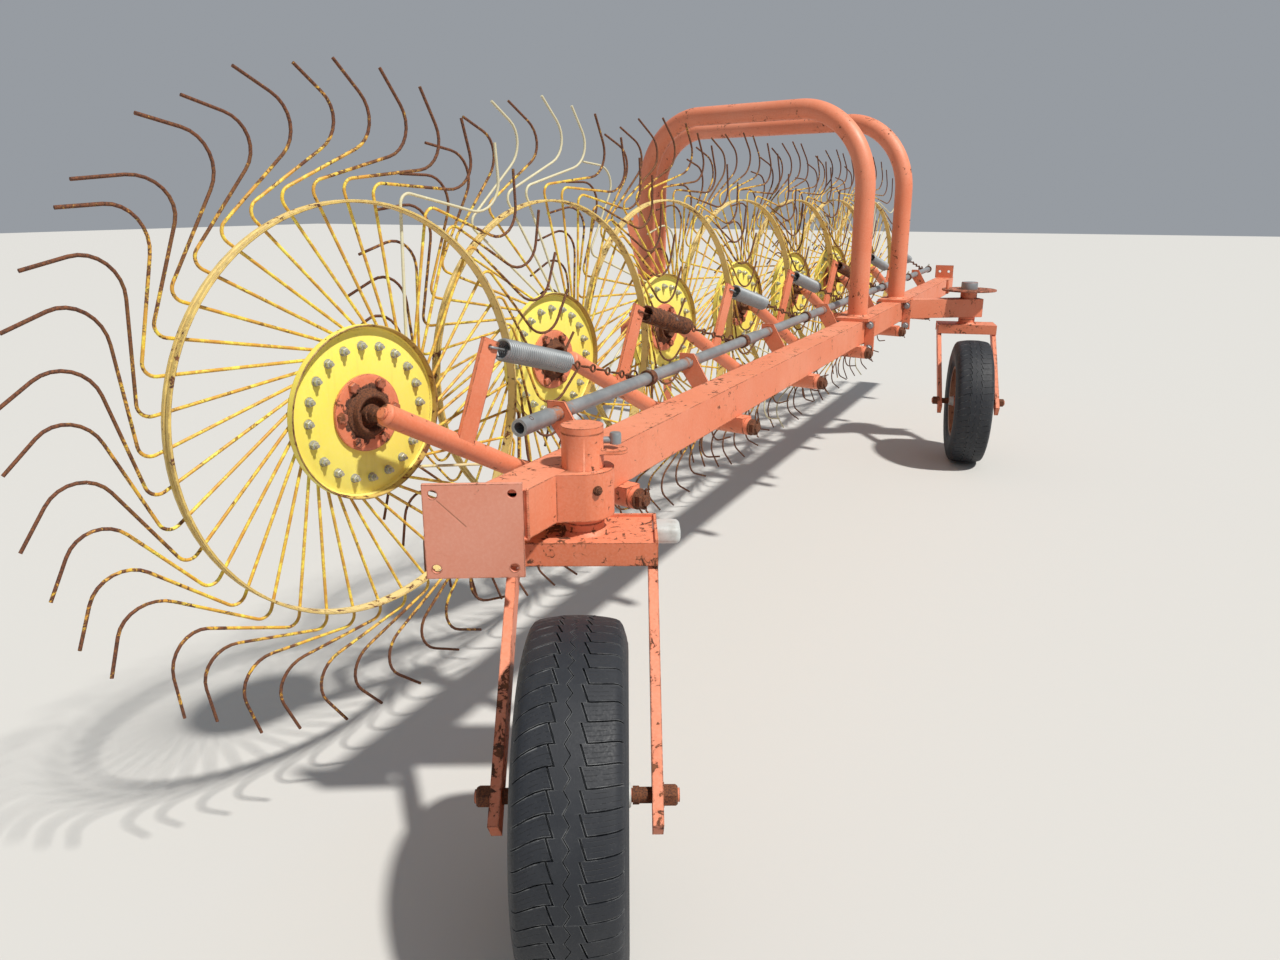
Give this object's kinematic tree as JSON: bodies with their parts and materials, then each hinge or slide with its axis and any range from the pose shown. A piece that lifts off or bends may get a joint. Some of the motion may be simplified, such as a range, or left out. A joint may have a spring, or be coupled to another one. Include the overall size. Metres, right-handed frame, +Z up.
{
  "type": "finger wheel rake",
  "caption": "Finger wheel rake: box toolbar with a row of spring-hung tined wheels on pivoting arms, lift pipe, twin casters, hoops and a linkage hitch.",
  "frame": {"origin": "middle of the footprint on the ground", "axes": "+X along the toolbar from the bolted end plate to the far end, +Y towards the finger wheels and the hitch, +Z up"},
  "size_m": [6.3632, 2.4085, 1.804],
  "materials": {
    "orange_paint": "faded orange paint with rust at edges",
    "yellow_paint": "yellow paint, chipped",
    "tine_paint": "yellow paint worn to brown rust",
    "galvanised": "dull zinc",
    "bare_steel": "ground rod",
    "rim_paint": "orange paint over rust",
    "tyre": "dusty rubber"
  },
  "bodies": {
    "frame": {"toolbar": "orange_paint", "end_plate": "orange_paint", "pivot_bearings": "orange_paint", "guide_plates": "orange_paint", "lift_cylinder": "orange_paint", "far_bracket": "orange_paint", "hoop_1": "orange_paint", "hoop_2": "orange_paint", "hoop_clamps": "orange_paint", "front_bar": "orange_paint", "lower_hitch": "orange_paint", "mast": "orange_paint", "leg_socket": "orange_paint", "near_caster_arm": "orange_paint", "far_caster_arm": "orange_paint"},
    "lift": {"lift_pipe": "galvanised", "lift_collars": "galvanised", "lift_rod": "bare_steel"},
    "parking_leg": {"parking_leg": "orange_paint"},
    "arm_1": {"arm_1": "orange_paint"},
    "wheel_1": {"disc_1": "yellow_paint", "tines_1": "tine_paint"},
    "spring_1": {"spring_1": "galvanised"},
    "arm_2": {"arm_2": "orange_paint"},
    "wheel_2": {"disc_2": "yellow_paint", "tines_2": "tine_paint"},
    "spring_2": {"spring_2": "galvanised"},
    "arm_3": {"arm_3": "orange_paint"},
    "wheel_3": {"disc_3": "yellow_paint", "tines_3": "tine_paint"},
    "spring_3": {"spring_3": "galvanised"},
    "arm_4": {"arm_4": "orange_paint"},
    "wheel_4": {"disc_4": "yellow_paint", "tines_4": "tine_paint"},
    "spring_4": {"spring_4": "galvanised"},
    "arm_5": {"arm_5": "orange_paint"},
    "wheel_5": {"disc_5": "yellow_paint", "tines_5": "tine_paint"},
    "spring_5": {"spring_5": "galvanised"},
    "arm_6": {"arm_6": "orange_paint"},
    "wheel_6": {"disc_6": "yellow_paint", "tines_6": "tine_paint"},
    "spring_6": {"spring_6": "galvanised"},
    "arm_7": {"arm_7": "orange_paint"},
    "wheel_7": {"disc_7": "yellow_paint", "tines_7": "tine_paint"},
    "spring_7": {"spring_7": "galvanised"},
    "near_fork": {"near_fork": "orange_paint"},
    "near_wheel": {"near_rim": "rim_paint", "near_tyre": "tyre"},
    "far_fork": {"far_fork": "orange_paint"},
    "far_wheel": {"far_rim": "rim_paint", "far_tyre": "tyre"}
  },
  "joints": [
    {"name": "lift_slide", "type": "slide", "parent": "frame", "child": "lift", "axis": [-1, 0, 0], "range_m": [0, 0.11732]},
    {"name": "leg_slide", "type": "slide", "parent": "frame", "child": "parking_leg", "axis": [0, 0, 1], "range_m": [0, 0.3]},
    {"name": "arm_1_pivot", "type": "hinge", "parent": "frame", "child": "arm_1", "pos_m": [-2.1544, -0.5839, 0.701], "axis": [-0.2079, -0.9781, 0], "range_deg": [-0.01, 25.81]},
    {"name": "wheel_1_spin", "type": "hinge", "parent": "arm_1", "child": "wheel_1", "pos_m": [-2.48037, -0.16395, 0.91696], "axis": [-0.2079, -0.9781, 0], "continuous": true},
    {"name": "spring_1_hook", "type": "hinge", "parent": "arm_1", "child": "spring_1", "pos_m": [-2.24148, -0.33127, 1.037], "axis": [0.1311, 0.9844, -0.1176], "range_deg": [-0.01, 16.89]},
    {"name": "arm_2_pivot", "type": "hinge", "parent": "frame", "child": "arm_2", "pos_m": [-1.3604, -0.5839, 0.701], "axis": [-0.2079, -0.9781, 0], "range_deg": [-0.01, 25.81]},
    {"name": "wheel_2_spin", "type": "hinge", "parent": "arm_2", "child": "wheel_2", "pos_m": [-1.68637, -0.16395, 0.91696], "axis": [-0.2079, -0.9781, 0], "continuous": true},
    {"name": "spring_2_hook", "type": "hinge", "parent": "arm_2", "child": "spring_2", "pos_m": [-1.44748, -0.33127, 1.037], "axis": [0.1311, 0.9844, -0.1176], "range_deg": [-0.01, 16.89]},
    {"name": "arm_3_pivot", "type": "hinge", "parent": "frame", "child": "arm_3", "pos_m": [-0.5664, -0.5839, 0.701], "axis": [-0.2079, -0.9781, 0], "range_deg": [-0.01, 25.81]},
    {"name": "wheel_3_spin", "type": "hinge", "parent": "arm_3", "child": "wheel_3", "pos_m": [-0.89237, -0.16395, 0.91696], "axis": [-0.2079, -0.9781, 0], "continuous": true},
    {"name": "spring_3_hook", "type": "hinge", "parent": "arm_3", "child": "spring_3", "pos_m": [-0.65348, -0.33127, 1.037], "axis": [0.1311, 0.9844, -0.1176], "range_deg": [-0.01, 16.89]},
    {"name": "arm_4_pivot", "type": "hinge", "parent": "frame", "child": "arm_4", "pos_m": [0.2276, -0.5839, 0.701], "axis": [-0.2079, -0.9781, 0], "range_deg": [-0.01, 25.81]},
    {"name": "wheel_4_spin", "type": "hinge", "parent": "arm_4", "child": "wheel_4", "pos_m": [-0.09837, -0.16395, 0.91696], "axis": [-0.2079, -0.9781, 0], "continuous": true},
    {"name": "spring_4_hook", "type": "hinge", "parent": "arm_4", "child": "spring_4", "pos_m": [0.14052, -0.33127, 1.037], "axis": [0.1311, 0.9844, -0.1176], "range_deg": [-0.01, 16.89]},
    {"name": "arm_5_pivot", "type": "hinge", "parent": "frame", "child": "arm_5", "pos_m": [1.0216, -0.5839, 0.701], "axis": [-0.2079, -0.9781, 0], "range_deg": [-0.01, 25.81]},
    {"name": "wheel_5_spin", "type": "hinge", "parent": "arm_5", "child": "wheel_5", "pos_m": [0.69563, -0.16395, 0.91696], "axis": [-0.2079, -0.9781, 0], "continuous": true},
    {"name": "spring_5_hook", "type": "hinge", "parent": "arm_5", "child": "spring_5", "pos_m": [0.93452, -0.33127, 1.037], "axis": [0.1311, 0.9844, -0.1176], "range_deg": [-0.01, 16.89]},
    {"name": "arm_6_pivot", "type": "hinge", "parent": "frame", "child": "arm_6", "pos_m": [1.8156, -0.5839, 0.701], "axis": [-0.2079, -0.9781, 0], "range_deg": [-0.01, 25.81]},
    {"name": "wheel_6_spin", "type": "hinge", "parent": "arm_6", "child": "wheel_6", "pos_m": [1.48963, -0.16395, 0.91696], "axis": [-0.2079, -0.9781, 0], "continuous": true},
    {"name": "spring_6_hook", "type": "hinge", "parent": "arm_6", "child": "spring_6", "pos_m": [1.72852, -0.33127, 1.037], "axis": [0.1311, 0.9844, -0.1176], "range_deg": [-0.01, 16.89]},
    {"name": "arm_7_pivot", "type": "hinge", "parent": "frame", "child": "arm_7", "pos_m": [2.6096, -0.5839, 0.701], "axis": [-0.2079, -0.9781, 0], "range_deg": [-0.01, 25.81]},
    {"name": "wheel_7_spin", "type": "hinge", "parent": "arm_7", "child": "wheel_7", "pos_m": [2.28363, -0.16395, 0.91696], "axis": [-0.2079, -0.9781, 0], "continuous": true},
    {"name": "spring_7_hook", "type": "hinge", "parent": "arm_7", "child": "spring_7", "pos_m": [2.52252, -0.33127, 1.037], "axis": [0.1311, 0.9844, -0.1176], "range_deg": [-0.01, 16.89]},
    {"name": "near_swivel", "type": "hinge", "parent": "frame", "child": "near_fork", "pos_m": [-2.3864, -0.6499, 0.69], "axis": [0, 0, 1], "range_deg": [-25, 115]},
    {"name": "near_wheel_spin", "type": "hinge", "parent": "near_fork", "child": "near_wheel", "pos_m": [-2.75491, -0.82963, 0.324], "axis": [-0.4384, 0.8988, 0], "continuous": true},
    {"name": "far_swivel", "type": "hinge", "parent": "frame", "child": "far_fork", "pos_m": [1.6116, -0.9289, 0.69], "axis": [0, 0, 1], "range_deg": [-25, 115]},
    {"name": "far_wheel_spin", "type": "hinge", "parent": "far_fork", "child": "far_wheel", "pos_m": [1.21211, -1.02113, 0.324], "axis": [-0.225, 0.9744, 0], "continuous": true}
  ],
  "couplings": [
    {"joint": "arm_1_pivot", "follows": "lift_slide", "rad_per_m": 3.8382},
    {"joint": "spring_1_hook", "follows": "lift_slide", "rad_per_m": 2.5109},
    {"joint": "arm_2_pivot", "follows": "lift_slide", "rad_per_m": 3.8382},
    {"joint": "spring_2_hook", "follows": "lift_slide", "rad_per_m": 2.5109},
    {"joint": "arm_3_pivot", "follows": "lift_slide", "rad_per_m": 3.8382},
    {"joint": "spring_3_hook", "follows": "lift_slide", "rad_per_m": 2.5109},
    {"joint": "arm_4_pivot", "follows": "lift_slide", "rad_per_m": 3.8382},
    {"joint": "spring_4_hook", "follows": "lift_slide", "rad_per_m": 2.5109},
    {"joint": "arm_5_pivot", "follows": "lift_slide", "rad_per_m": 3.8382},
    {"joint": "spring_5_hook", "follows": "lift_slide", "rad_per_m": 2.5109},
    {"joint": "arm_6_pivot", "follows": "lift_slide", "rad_per_m": 3.8382},
    {"joint": "spring_6_hook", "follows": "lift_slide", "rad_per_m": 2.5109},
    {"joint": "arm_7_pivot", "follows": "lift_slide", "rad_per_m": 3.8382},
    {"joint": "spring_7_hook", "follows": "lift_slide", "rad_per_m": 2.5109}
  ]
}
